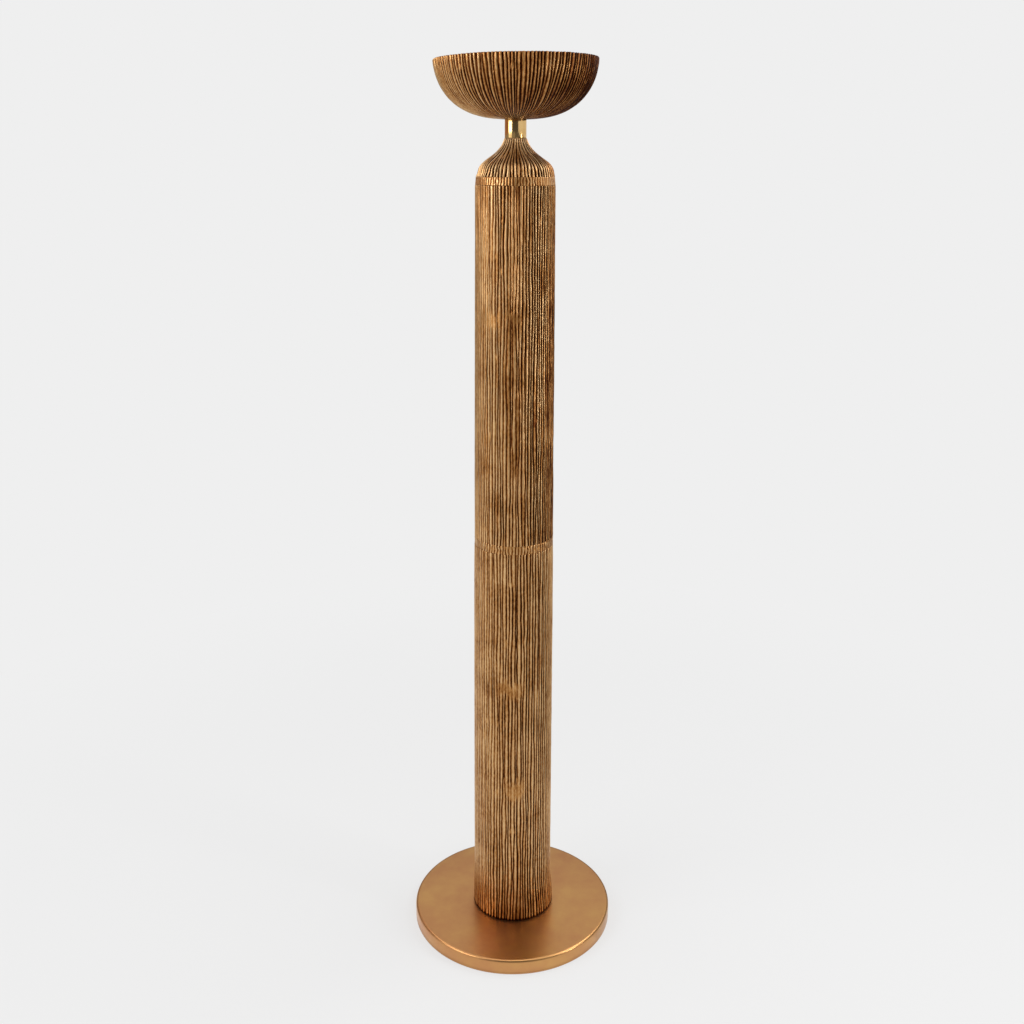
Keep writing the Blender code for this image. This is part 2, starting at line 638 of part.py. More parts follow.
def bulb():
    """The bulb on its screw axis: tip contact, screw cap with its insulating cone, and globe."""
    axis = bpy.data.objects.new("bulb_axis", None)
    axis.location = (0, 0, BULB_Z)
    bpy.context.collection.objects.link(axis)
    tip_radius, cap_radius = BULB_TIP_DIAMETER / 2, BULB_CAP_DIAMETER / 2
    tip = [(0, 0), (tip_radius / 2, 0), (tip_radius, BULB_TIP_HEIGHT / 2), (tip_radius, BULB_TIP_HEIGHT)]
    tip.append((0, BULB_TIP_HEIGHT))
    turned("bulb_tip", tip, "nickel_cap", 0, PIPE_SIDES).parent = axis
    cap = [
        (0, 0),
        (tip_radius, 0),
        (cap_radius - BULB_BUTTON_HEIGHT / 2, BULB_BUTTON_HEIGHT),
        (cap_radius, BULB_BUTTON_HEIGHT * 1.5),
        (cap_radius, BULB_CAP_LENGTH),
        (0, BULB_CAP_LENGTH),
    ]
    turned("bulb_cap", cap, "nickel_cap", BULB_CAP_Z - BULB_Z).parent = axis
    globe(axis)


def main():
    for obj in list(bpy.data.objects):
        bpy.data.objects.remove(obj)
    screw_seat = COLUMN_Z + FLANGE_HEIGHT - SCREW_HEAD_HEIGHT
    screw_end = screw_seat - SCREW_LENGTH - SEAT_GAP
    screw_holes = rods("screw_holes", flange_places(), SCREW_HOLE, screw_end, screw_seat, PIPE_SIDES)
    floor_pad()
    base_weight(screw_holes)
    base_cover(screw_holes)
    cord_bushing()
    foot_screws(foot_flange(screw_holes))
    column_length("lower_column", COLUMN_Z, LOWER_COLUMN_LENGTH)
    joint_ring()
    column_length("upper_column", UPPER_Z, UPPER_COLUMN_LENGTH)
    shoulder_ring()
    shoulder_cap()
    neck()
    bowl()
    tie_pipe()
    lampholder()
    bulb()


main()
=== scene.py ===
"""Looks of a ribbed brass torchiere: hand-chased column, shoulder and bowl, polished neck, satin base.

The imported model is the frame: metres, +Z up, photographed from -Y. Each piece that shows is worked out as a
grid of points, rows along its outline and columns round the Z axis, and replaces its plain solid.
"""

import json
import math

import bpy
import numpy as np
from mathutils import Matrix, Vector


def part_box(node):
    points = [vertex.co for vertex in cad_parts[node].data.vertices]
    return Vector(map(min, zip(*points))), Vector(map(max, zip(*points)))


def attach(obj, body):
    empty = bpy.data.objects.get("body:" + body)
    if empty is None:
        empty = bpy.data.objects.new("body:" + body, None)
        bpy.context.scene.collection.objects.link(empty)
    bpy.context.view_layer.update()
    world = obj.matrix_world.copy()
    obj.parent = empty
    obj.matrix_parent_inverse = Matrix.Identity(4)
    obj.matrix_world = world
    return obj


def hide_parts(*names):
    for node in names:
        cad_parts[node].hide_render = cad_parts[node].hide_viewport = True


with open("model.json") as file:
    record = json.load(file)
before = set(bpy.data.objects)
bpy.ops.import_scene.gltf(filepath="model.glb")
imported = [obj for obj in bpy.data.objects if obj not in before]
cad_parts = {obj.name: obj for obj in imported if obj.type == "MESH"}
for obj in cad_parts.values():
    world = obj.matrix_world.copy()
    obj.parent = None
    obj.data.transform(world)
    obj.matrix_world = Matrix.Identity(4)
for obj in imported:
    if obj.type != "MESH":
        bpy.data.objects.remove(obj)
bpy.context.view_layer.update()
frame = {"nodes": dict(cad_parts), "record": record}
MM = 0.001
TURN = math.tau

# Ribs: how many stand round each piece, how deep their grooves are, and how many grid columns draw one rib
COLUMN_RIBS, COLUMN_GROOVE = 82, 2.1 * MM
SHOULDER_RIBS, SHOULDER_GROOVE = 66, 3.0 * MM
BOWL_RIBS, BOWL_GROOVE = 138, 2.4 * MM
BAND_GROOVE = 1.5 * MM
COLUMNS_PER_RIB = 6
COLUMN_ROWS, SHOULDER_ROWS, BOWL_ROWS, BAND_ROWS = 160, 120, 84, 26

# Sides: grooves cut deeper towards +X; painted light makes the metal paler towards -X and darker towards +X,
# and painted shade darkens the far +X side
SIDE_CUT = 0.3
BAND_PAINTED_SIDE_LIGHT, SHOULDER_PAINTED_SIDE_LIGHT, BOWL_PAINTED_SIDE_LIGHT = 0.03, 0.05, 0.14
SHOULDER_PAINTED_LIMB_SHADE, BOWL_PAINTED_LIMB_SHADE = 0.3, 0.2

# Column: how its two lengths leave a straight taper, and how much painted shade darkens the foot
EDGE = 0.4 * MM  # soft edge where a cast length ends
BAND_SET = 0.3 * MM  # how far a band stands back from the lengths that it joins
BAND_LOW, BAND_SPAN, BEAD_RISE = 0.24, 0.66, 0.4  # relief of a band's grooves, its ridges' and a bead's rise
FOOT_FLARE, LOWER_SWELL, TOP_WAIST = 3.2 * MM, 1.0 * MM, 1.2 * MM
FOOT_LEAN = 0.5  # how much more the foot flares towards +X, and less towards -X
FOOT_REACH, SEAM_REACH = 100 * MM, 6 * MM  # how far up the flare goes, and the dark seam above the base
# Painted shade: the foot darker towards the base, and a painted contact shadow along the seam with the base
FOOT_PAINTED_SHADE, FOOT_PAINTED_SHADOW = 0.14, 0.45
FILL_TONE, FILL_SHARE = 0.66, 0.75  # relief of a filled place, and how nearly it is reached

# Filled and dressed-off places in the grooves: degrees from the front, height, half width, half height
FILLED = {
    "lower_column": ((-5, 0.565, 0.028, 0.015), (4, 0.341, 0.020, 0.020)),
    "upper_column": ((-40, 1.296, 0.024, 0.014), (-2, 1.300, 0.018, 0.008)),
}

# Shoulder: its section as the solid has it, and how far its dome was then dressed in
SHOULDER_WALL, SHOULDER_PLATE = 4.8 * MM, 6 * MM
SHOULDER_DOME, SHOULDER_FLARE, SHOULDER_BALANCE = 3.0, 0.85, 0.3
SHOULDER_GAIN, SHOULDER_DARK = 1.45, 0.25  # how its grooves and ridges are set apart in tone
DOME_TRIM, DOME_PEAK = 2.4 * MM, 0.2  # the most that came off, and at what share of the height
DOME_LEAN = 0.4  # how much more came off on the left, and less on the right

# Bowl: its section as the solid has it, and how its rim was left
BOWL_WALL, BOWL_FLOOR, BOWL_SEAT = 4 * MM, 5 * MM, 24 * MM
BOWL_SIDE, BOWL_DROP = 2.85, 2.02
BOWL_ARC = 190 * MM  # length of a rib from the seat to the rim
RIM_WAVE = 0.4 * MM  # how unevenly the rim was trimmed
RIM_LEAN = 5 * MM  # how much lower its left side was left
RIM_NOTCH = 0.7 * MM  # how far the grooves cut into the rim
ROLL_REACH, LEAN_REACH = 6 * MM, 25 * MM  # how far below the rim the roll and the lean begin
BOWL_WORN = 0.88  # how far its ridges were rubbed back, of the column's
PIPE_HOLE = 5.3 * MM

# Screw thread of the bulb: right hand, one pitch of rise for a turn
THREAD_PITCH, THREAD_DEPTH = 3.629 * MM, 0.8 * MM

# Camera, fitted to the photograph
CAMERA_PLACE = (0.0, -2.1160, 1.5714)
CAMERA_PITCH, CAMERA_ROLL = 0.27566, 0.0044
CAMERA_LENS, CAMERA_SHIFT = 39.53, (-0.0020, -0.0300)

# Studio: what the camera sees behind the lamp, the floor's paint, and the columns of a card's grid
BACKDROP, FLOOR_PAINT = "#EFEFEF", "#DEDEDE"
FLOOR_REACH = 30.0
CARD_COLUMNS = 60


def linear(colour):
    """An sRGB hex colour as linear red, green, blue and an alpha of 1."""
    part = np.array([int(colour[i : i + 2], 16) for i in (1, 3, 5)]) / 255
    part = np.where(part <= 0.04045, part / 12.92, ((part + 0.055) / 1.055) ** 2.4)
    return (*part.tolist(), 1.0)


def per(size_mm):
    """Texture scale at which one feature of a pattern is that many millimetres wide."""
    return 1000 / size_mm


def add(tree, kind, sockets=None, stops=(), **settings):
    """One node: its settings, its ramp stops, and its sockets by name or number, each a value or a link."""
    made = tree.nodes.new("ShaderNode" + kind)
    for name, value in settings.items():
        setattr(made, name, value)
    for number, (place, colour) in enumerate(stops):
        elements = made.color_ramp.elements
        stop = elements[number] if number < 2 else elements.new(place)
        stop.position, stop.color = place, linear(colour)
    for socket, value in (sockets or {}).items():
        if isinstance(value, bpy.types.NodeSocket):
            tree.links.new(value, made.inputs[socket])
        else:
            made.inputs[socket].default_value = value
    return made


def finish(name, **values):
    """A new material with its Principled shader and Object coordinates; values set plain sockets."""
    material = bpy.data.materials.new(name)
    material.use_nodes = True
    tree = material.node_tree
    shader = tree.nodes["Principled BSDF"]
    for socket, value in values.items():
        shader.inputs[socket.replace("_", " ")].default_value = value
    return material, tree, shader, add(tree, "TexCoord").outputs["Object"]


def ramp(tree, share, *stops):
    """A colour that runs through the stops as the share grows."""
    return add(tree, "ValToRGB", {"Fac": share}, stops=stops)


def wire(tree, shader, colour, rough, bump=None):
    """Colour, roughness and, where there is one, bump go to the shader."""
    tree.links.new(colour.outputs["Color"], shader.inputs["Base Color"])
    tree.links.new(rough.outputs[0], shader.inputs["Roughness"])
    if bump is not None:
        tree.links.new(bump.outputs["Normal"], shader.inputs["Normal"])


def chased_brass():
    """Antique brass, cast and chased by hand: dark brown oxide in the grooves, ridges rubbed back to gold.

    The relief of the ribs sets the colour, broken up by tarnish in 45 mm clouds and by a grain 3 mm wide,
    drawn out along the ribs, that catches the light as small glints. The rubbed ridges lie under lacquer and
    scatter a third of the light; the grooves are bare metal.
    """
    material, tree, shader, place = finish("antique_brass_chased")
    # The relief attribute holds the ribs' relief with painted side light and painted shade mixed in
    relief = add(tree, "Attribute", attribute_name="relief").outputs["Fac"]
    clouds = add(tree, "TexNoise", {"Vector": place, "Scale": per(45), "Detail": 3.0})
    drawn = add(tree, "Mapping", {"Vector": place, "Scale": (1.0, 1.0, 0.4)}).outputs[0]
    grain = add(tree, "TexNoise", {"Vector": drawn, "Scale": per(3), "Detail": 3.0, "Roughness": 0.6})
    tarnish = add(tree, "MapRange", {0: clouds.outputs["Fac"], 1: 0.3, 2: 0.7, 3: -0.08, 4: 0.08})
    speckle = add(tree, "MapRange", {0: grain.outputs["Fac"], 1: 0.3, 2: 0.7, 3: -0.13, 4: 0.1})
    stain = add(tree, "Math", {0: tarnish.outputs[0], 1: speckle.outputs[0]}, operation="ADD")
    rubbed = add(tree, "Math", {0: relief, 1: stain.outputs[0]}, operation="ADD", use_clamp=True).outputs[0]
    ends, between = ((0.17, "#1E0802"), (0.95, "#DAB37F")), ((0.4, "#63300A"), (0.64, "#B07A3E"))
    colour = ramp(tree, rubbed, *ends, *between)
    rough = add(tree, "MapRange", {0: rubbed, 1: 0.2, 2: 0.8, 3: 0.58, 4: 0.3})
    bare = add(tree, "MapRange", {0: rubbed, 1: 0.25, 2: 0.7, 3: 1.0, 4: 0.66})
    dents = add(tree, "Bump", {"Strength": 0.35, "Distance": 0.3 * MM, "Height": grain.outputs["Fac"]})
    wire(tree, shader, colour, rough, dents)
    tree.links.new(bare.outputs[0], shader.inputs["Metallic"])
    return material


def satin_brass():
    """Brass sheet, spun and satin finished: an even warm sheen with faint reddish tarnish in 70 mm clouds.

    A 0.9 mm grain stands for the finer scouring of the sheet, which would not show in the render.
    """
    material, tree, shader, place = finish("satin_brass_spun", Metallic=1.0)
    clouds = add(tree, "TexNoise", {"Vector": place, "Scale": per(70), "Detail": 4.0, "Roughness": 0.6})
    grain = add(tree, "TexNoise", {"Vector": place, "Scale": per(0.9), "Detail": 2.0})
    colour = ramp(tree, clouds.outputs["Fac"], (0.3, "#B98257"), (0.7, "#C4945C"))
    rough = add(tree, "MapRange", {0: clouds.outputs["Fac"], 1: 0.3, 2: 0.7, 3: 0.36, 4: 0.28})
    scour = add(tree, "Bump", {"Strength": 0.15, "Distance": 0.05 * MM, "Height": grain.outputs["Fac"]})
    wire(tree, shader, colour, rough, scour)
    return material


def polished_brass():
    """Drawn brass tube, buffed on a lathe: a clear reflection drawn out by fine rings, and some warm tarnish.

    The buffing rings are drawn 0.8 mm apart, coarser than real ones, so that they show.
    """
    material, tree, shader, place = finish("polished_brass_drawn", Metallic=1.0)
    clouds = add(tree, "TexNoise", {"Vector": place, "Scale": per(18), "Detail": 3.0})
    squeezed = add(tree, "Mapping", {"Vector": place, "Scale": (0.02, 0.02, 1.0)})
    rings = add(tree, "TexNoise", {"Vector": squeezed.outputs[0], "Scale": per(0.8), "Detail": 1.0})
    colour = ramp(tree, clouds.outputs["Fac"], (0.3, "#CFA565"), (0.7, "#E2BE82"))
    rough = add(tree, "MapRange", {0: clouds.outputs["Fac"], 1: 0.3, 2: 0.7, 3: 0.16, 4: 0.09})
    buff = add(tree, "Bump", {"Strength": 0.12, "Distance": 0.03 * MM, "Height": rings.outputs["Fac"]})
    wire(tree, shader, colour, rough, buff)
    return material


def plated_steel():
    """Turned steel, zinc plated: bluish grey, with the plating's cloudy 6 mm spangle."""
    material, tree, shader, place = finish("zinc_plated_steel", Metallic=1.0)
    spangle = add(tree, "TexVoronoi", {"Vector": place, "Scale": per(6)})
    colour = ramp(tree, spangle.outputs["Distance"], (0.1, "#C3C4C2"), (0.8, "#A5A6A8"))
    rough = add(tree, "MapRange", {0: spangle.outputs["Distance"], 3: 0.3, 4: 0.45})
    wire(tree, shader, colour, rough)
    return material


def cast_iron():
    """Grey iron, sand cast: dull, dark and pitted by 1.5 mm grains of moulding sand."""
    material, tree, shader, place = finish("grey_iron_sand_cast", Metallic=0.8)
    sand = add(tree, "TexNoise", {"Vector": place, "Scale": per(1.5), "Detail": 3.0})
    colour = ramp(tree, sand.outputs["Fac"], (0.3, "#2C2C2E"), (0.7, "#47464A"))
    rough = add(tree, "MapRange", {0: sand.outputs["Fac"], 3: 0.65, 4: 0.85})
    pits = add(tree, "Bump", {"Strength": 0.6, "Distance": 0.3 * MM, "Height": sand.outputs["Fac"]})
    wire(tree, shader, colour, rough, pits)
    return material


def felt():
    """Wool felt, pressed: a matt brown-black nap of 1.2 mm tufts with a soft sheen."""
    material, tree, shader, place = finish("wool_felt_pressed", Sheen_Weight=0.4, Sheen_Roughness=0.5)
    nap = add(tree, "TexNoise", {"Vector": place, "Scale": per(1.2), "Detail": 4.0, "Roughness": 0.7})
    colour = ramp(tree, nap.outputs["Fac"], (0.3, "#231F1C"), (0.7, "#3A342F"))
    rough = add(tree, "MapRange", {0: nap.outputs["Fac"], 3: 0.9, 4: 1.0})
    tufts = add(tree, "Bump", {"Strength": 0.7, "Distance": 0.3 * MM, "Height": nap.outputs["Fac"]})
    wire(tree, shader, colour, rough, tufts)
    return material


def black_rubber():
    """Moulded rubber: near black, dull, with a fine 0.7 mm spark-eroded mould texture."""
    material, tree, shader, place = finish("moulded_rubber")
    mould = add(tree, "TexNoise", {"Vector": place, "Scale": per(0.7), "Detail": 2.0})
    colour = ramp(tree, mould.outputs["Fac"], (0.3, "#171717"), (0.7, "#242423"))
    rough = add(tree, "MapRange", {0: mould.outputs["Fac"], 3: 0.55, 4: 0.75})
    skin_grain = add(tree, "Bump", {"Strength": 0.3, "Distance": 0.08 * MM, "Height": mould.outputs["Fac"]})
    wire(tree, shader, colour, rough, skin_grain)
    return material


def porcelain():
    """Glazed porcelain: warm white under a clear glaze, with a slight 9 mm unevenness of the glaze."""
    material, tree, shader, place = finish("glazed_porcelain", Coat_Weight=0.6, Coat_Roughness=0.06)
    glaze = add(tree, "TexNoise", {"Vector": place, "Scale": per(9), "Detail": 2.0})
    colour = ramp(tree, glaze.outputs["Fac"], (0.3, "#E9E2D4"), (0.7, "#F3EEE4"))
    rough = add(tree, "MapRange", {0: glaze.outputs["Fac"], 3: 0.2, 4: 0.32})
    runs = add(tree, "Bump", {"Strength": 0.2, "Distance": 0.1 * MM, "Height": glaze.outputs["Fac"]})
    wire(tree, shader, colour, rough, runs)
    return material


def nickel_cap():
    """Pressed brass, nickel plated: pale grey-gold, drawn lightly along the pressing in 1 mm streaks."""
    material, tree, shader, place = finish("nickel_plated_brass", Metallic=1.0)
    streaks = add(tree, "TexNoise", {"Vector": place, "Scale": per(1), "Detail": 2.0})
    colour = ramp(tree, streaks.outputs["Fac"], (0.3, "#BDB9AC"), (0.7, "#D3CFC3"))
    rough = add(tree, "MapRange", {0: streaks.outputs["Fac"], 3: 0.22, 4: 0.36})
    wire(tree, shader, colour, rough)
    return material


def frosted_glass():
    """Opal glass, frosted with acid: soft warm white that lets light through, with a 0.6 mm etched tooth."""
    material, tree, shader, place = finish("opal_glass_frosted", IOR=1.5, Transmission_Weight=0.3)
    etch = add(tree, "TexNoise", {"Vector": place, "Scale": per(0.6), "Detail": 2.0})
    colour = ramp(tree, etch.outputs["Fac"], (0.3, "#F1ECE1"), (0.7, "#F7F3EA"))
    rough = add(tree, "MapRange", {0: etch.outputs["Fac"], 3: 0.4, 4: 0.6})
    wire(tree, shader, colour, rough)
    return material


FINISHES = {
    "ribbed_brass": chased_brass(),
    "satin_brass": satin_brass(),
    "polished_brass": polished_brass(),
    "plated_steel": plated_steel(),
    "cast_iron": cast_iron(),
    "felt": felt(),
    "black_rubber": black_rubber(),
    "porcelain": porcelain(),
    "nickel_cap": nickel_cap(),
    "frosted_glass": frosted_glass(),
}


def ease(x):
    """The eased step 3x^2 - 2x^3 of a value held between 0 and 1."""
    x = np.clip(x, 0, 1)
    return x * x * (3 - 2 * x)


def drift(around, along, cells, seed):
    """Smooth random swell between -1 and 1 at shares of a turn and shares of a length.

    Random values stand on a lattice of cells that closes round the piece, and eased weights blend the four
    values about a point.
    """
    wide, tall = cells
    lattice = np.random.default_rng(seed).uniform(-1, 1, (wide, tall + 2))
    x, y = np.broadcast_arrays(around % 1 * wide, along * tall)
    i, j = np.floor(x).astype(int), np.floor(y).astype(int)
    u, v = ease(x - i), ease(y - j)
    low = lattice[i % wide, j] * (1 - u) + lattice[(i + 1) % wide, j] * u
    high = lattice[i % wide, j + 1] * (1 - u) + lattice[(i + 1) % wide, j + 1] * u
    return low * (1 - v) + high * v


def ribs(count, along, length, seed, gather=0.0, merge=3, width=1.0, sway=0.34, uneven=1.0):
    """Hand-chased ribs on a grid: the angle of each point, and its relief from 0 in a groove to 1 on a ridge.

    A column keeps its place p in its rib, so that each ridge stays one clean line, and its angle is
    turn x (p + sway x (slow drift + 0.4 quick drift)) / count. A groove is ((1 + cos turn p) / 2)^width, and
    where ribs gather, merge of them run together as ((1 + cos(turn p / merge)) / 2)^(0.75 merge width).
    Drifts make grooves deeper and shallower, rib by rib and in whole patches, close them in places, sink
    stretches of ridge and leave the ridges hammered. uneven scales the patches and the sunken stretches.
    """
    place = np.arange(count * COLUMNS_PER_RIB) / COLUMNS_PER_RIB
    around, rows = place / count, along[:, None]
    half = 0.5 / count

    def cells(size_mm):
        return count, max(2, round(length / size_mm / MM))

    slow = drift(around, rows, cells(120), seed)
    quick = drift(around, rows, cells(26), seed + 1)
    angle = TURN * (place + sway * slow + 0.4 * sway * quick) / count
    single = (1 + np.cos(TURN * place)) / 2
    joined = (1 + np.cos(TURN * place / merge)) / 2
    groove = single**width * (1 - gather) + joined ** (0.75 * merge * width) * gather
    patch = drift(around, rows, (count // 6, cells(170)[1]), seed + 6)
    depth = 0.84 + 0.1 * drift(around, rows, cells(90), seed + 2) + 0.14 * uneven * patch
    closed = ease((drift(around, rows, cells(30), seed + 3) - 0.75) / 0.25)
    sunk = 0.35 * uneven * ease(drift(around + half, rows, cells(80), seed + 4))
    sunk = sunk + 0.07 * (1 + drift(around + half, rows, cells(11), seed + 5))
    relief = (1 - groove * depth * (1 - 0.5 * closed)) * (1 - sunk * (1 - groove))
    return angle, np.clip(relief, 0, 1)


def spun(radius, height, angle):
    """Points at (radius cos angle, radius sin angle, height), on a grid of rows and columns."""
    radius, height, angle = np.broadcast_arrays(radius, height, angle)
    return np.stack([radius * np.cos(angle), radius * np.sin(angle), height], axis=-1)


def round_angles(sides):
    """A full turn in equal steps, as one row of angles."""
    return np.arange(sides)[None, :] * TURN / sides


def rounded(corners, steps=6):
    """An outline of (radius, height, fillet) corners, each corner c swapped for a parabola.

    It runs from a to b, the points at the fillet's length along the two sides, as
    (1 - t)^2 a + 2t(1 - t) c + t^2 b.
    """
    corners = np.array(corners, float)
    here, fillet = corners[:, None, :2], corners[:, None, 2:]
    back, ahead = np.roll(here, 1, 0) - here, np.roll(here, -1, 0) - here
    a = here + back / np.linalg.norm(back, axis=2, keepdims=True) * fillet
    b = here + ahead / np.linalg.norm(ahead, axis=2, keepdims=True) * fillet
    t = np.linspace(0, 1, steps)[None, :, None]
    outline = ((1 - t) ** 2 * a + 2 * t * (1 - t) * here + t**2 * b).reshape(-1, 2)
    moved = np.linalg.norm(outline - np.roll(outline, 1, 0), axis=1) > 1e-7
    return outline[moved]


def skin(name, points, slot, replaces, body="lamp", relief=None, lining=None):
    """A closed mesh over a grid of points: columns close round the axis and the last row joins the first.

    A row whose points all lie on the axis becomes one pole. relief is a number for each point, the colour's
    tone with any painted light and shade in it, and lining is a (slot, first row) pair: faces from that row
    on take that slot's finish.
    """
    rows, columns = points.shape[:2]
    index = np.arange(rows * columns).reshape(rows, columns)
    pole = np.ptp(points, axis=1).max(axis=1) < 1e-9
    index[pole] = index[pole][:, :1]
    upper, right = np.roll(index, -1, 0), np.roll(index, -1, 1)
    quads = np.stack([index, right, np.roll(upper, -1, 1), upper], axis=-1)
    top_pole = np.roll(pole, -1)
    plain = quads[~pole & ~top_pole].reshape(-1, 4)
    fans = [quads[pole & ~top_pole][:, :, [0, 2, 3]], quads[~pole & top_pole][:, :, [0, 1, 2]]]
    fans = np.concatenate([fan.reshape(-1, 3) for fan in fans])
    used, faces = np.unique(np.concatenate([plain.ravel(), fans.ravel()]), return_inverse=True)
    quad_list = faces[: plain.size].reshape(-1, 4).tolist()
    fan_list = faces[plain.size :].reshape(-1, 3).tolist()
    mesh = bpy.data.meshes.new(name)
    mesh.from_pydata(points.reshape(-1, 3)[used], [], quad_list + fan_list)
    mesh.materials.append(FINISHES[slot])
    if relief is not None:
        height = mesh.attributes.new("relief", "FLOAT", "POINT")
        height.data.foreach_set("value", relief.ravel()[used].astype(np.float32))
    if lining is not None:
        mesh.materials.append(FINISHES[lining[0]])
        row_of = np.repeat(np.arange(rows)[~pole & ~top_pole], columns)
        mesh.polygons.foreach_set("material_index", (row_of >= lining[1]).astype(np.int32))
    mesh.shade_smooth()
    mesh.update()
    piece = bpy.data.objects.new(name, mesh)
    bpy.context.scene.collection.objects.link(piece)
    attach(piece, body)
    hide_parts(replaces)


def radii_at(node, z):
    """Least and greatest radius among a node's points at a height."""
    points = np.array([v.co for v in frame["nodes"][node].data.vertices])
    radius = np.hypot(points[:, 0], points[:, 1])[np.abs(points[:, 2] - z) < 0.05 * MM]
    return radius.min(), radius.max()


def at_foot(z, reach=FOOT_REACH):
    """Eased share from 1 at the column's foot to 0 at the reach above it."""
    return ease(1 - (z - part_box("lower_column")[0].z) / reach)


def swell(z):
    """How far the ridges stand off a straight taper at a height.

    A flare eases out above the foot, the lower length is a little full below the joint, and the upper length
    eases in to a waist towards its top.
    """
    joint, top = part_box("upper_column")[0].z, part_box("upper_column")[1].z
    full = LOWER_SWELL * ease((joint + 40 * MM - z) / (120 * MM))
    return FOOT_FLARE * at_foot(z) + full - TOP_WAIST * ease((z - joint) / (top - joint))


def filled(node, angle, z, seed):
    """Share to which grooves are filled: exp(-x^4 - y^4) about each place, moved up to 9 mm rib by rib."""
    step = 9 * MM * drift(angle / TURN, 0 * z, (COLUMN_RIBS, 2), seed)
    share = np.zeros_like(angle)
    for side, height, wide, tall in FILLED[node]:
        across = (angle + TURN / 4 - math.radians(side) + TURN / 2) % TURN - TURN / 2
        x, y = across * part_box(node)[1].x / wide, (z - height + step) / tall
        share = np.maximum(share, np.exp(-(x**4) - y**4))
    return share


def tone_with_painted_light(relief, angle, painted_side_light, dull=0.0):
    """What colours the metal: relief, less a share of cos(angle) and a share of cos^8(angle) on the +X side
    only.

    The first share is painted light: it makes the metal paler towards -X and darker towards +X. The second is
    painted shade on the far +X side. Below zero, each does the opposite.
    """
    right = np.cos(angle)
    return relief - painted_side_light * right - dull * np.clip(right, 0, 1) ** 8


def column_length(node, seed, uneven, cut, painted_side_light, dull):
    """One cast length of the column: a swelling taper less the grooves, ridge - depth x (1 - relief).

    cut scales the grooves, which are deeper towards +X by 1 + side cut x cos(angle), and the flare of the
    foot leans the same way. The first and last rows are drawn in by the soft edge, and two plain rows close
    the bore.
    """
    low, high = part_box(node)
    length = high.z - low.z
    edge = EDGE / length
    along = np.concatenate([[0, edge], np.linspace(3 * edge, 1 - 3 * edge, COLUMN_ROWS), [1 - edge, 1]])
    angle, relief = ribs(COLUMN_RIBS, along, length, seed, uneven=uneven)
    (foot_bore, foot), (top_bore, top) = radii_at(node, low.z), radii_at(node, high.z)
    rows = along[:, None]
    z = low.z + rows * length
    relief = 1 - cut * (1 + SIDE_CUT * np.cos(angle)) * (1 - relief)
    relief = relief + (FILL_TONE - relief) * FILL_SHARE * filled(node, angle, z, seed + 8)
    relief = np.clip(relief, 0, 1)
    ridge = foot + (top - foot) * rows + swell(z) - EDGE * ((rows == 0) | (rows == 1))
    ridge = ridge + FOOT_FLARE * FOOT_LEAN * np.cos(angle) * at_foot(z)
    outer = spun(ridge - COLUMN_GROOVE * (1 - relief), z, angle)
    bore = spun(np.array([[top_bore], [foot_bore]]), np.array([[high.z], [low.z]]), angle[:1])
    points = np.concatenate([outer, bore])
    # Painted light and shade: the side terms, painted shade on the foot towards the base, and a painted
    # contact shadow just above it
    tone = tone_with_painted_light(relief, angle, painted_side_light, dull) - FOOT_PAINTED_SHADE * at_foot(z) - FOOT_PAINTED_SHADOW * at_foot(z, SEAM_REACH)
    dark = np.zeros((2, angle.shape[1]))
    skin(node + "_chased", points, "ribbed_brass", node, relief=np.concatenate([tone, dark]))


def band(node, seed):
    """A band between two lengths: low ribs that stand back a little from theirs.

    On the joint ring a drift picks ribs that have a bright bead under the upper edge, which is
    exp(-((v - 0.72) / 0.16)^2) at a share v of the band's height.
    """
    low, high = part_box(node)
    joint = node == "joint_ring"
    under, over = ("lower_column", "upper_column") if joint else ("upper_column", "shoulder_cap")
    below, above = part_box(under)[1].z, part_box(over)[0].z
    foot_z, top_z = below + BAND_SET, above - BAND_SET
    foot, top = radii_at(under, below)[1] + swell(below), radii_at(over, above)[1]
    top = top + (swell(above) if joint else 0)
    length = top_z - foot_z
    along = np.linspace(0, 1, BAND_ROWS)
    rows = along[:, None]
    angle, relief = ribs(COLUMN_RIBS, along, length, seed, sway=0.2, uneven=0.5)
    picked = ease(drift(angle[:1] / TURN, rows * 0, (COLUMN_RIBS, 2), seed + 7))
    bead = np.exp(-(((rows - 0.72) / 0.16) ** 2)) * picked
    relief = BAND_LOW + BAND_SPAN * relief + (BEAD_RISE if joint else 0.0) * bead * relief
    relief = np.clip(relief, 0, 1)
    edge = BAND_SET * (1 - ease(rows / 0.06) * ease((1 - rows) / 0.06))
    ridge = foot + (top - foot) * rows - BAND_SET - edge
    outer = spun(ridge - BAND_GROOVE * (1 - relief), foot_z + rows * length, angle)
    spigot_in, spigot = radii_at(node, high.z)
    lower_in, lower = radii_at(node, low.z)
    inside_r = np.array([spigot, spigot, spigot_in, lower_in, lower, lower])[:, None]
    inside_z = np.array([top_z, high.z, high.z, low.z, low.z, foot_z])[:, None]
    inside = spun(inside_r, inside_z, angle[:1])
    points = np.concatenate([outer, inside])
    dark = np.zeros((len(inside), angle.shape[1]))
    # Painted side light in the band's colour: paler towards -X, darker towards +X
    tone = np.concatenate([tone_with_painted_light(relief, angle, BAND_PAINTED_SIDE_LIGHT), dark])
    skin(node + "_chased", points, "ribbed_brass", node, relief=tone)


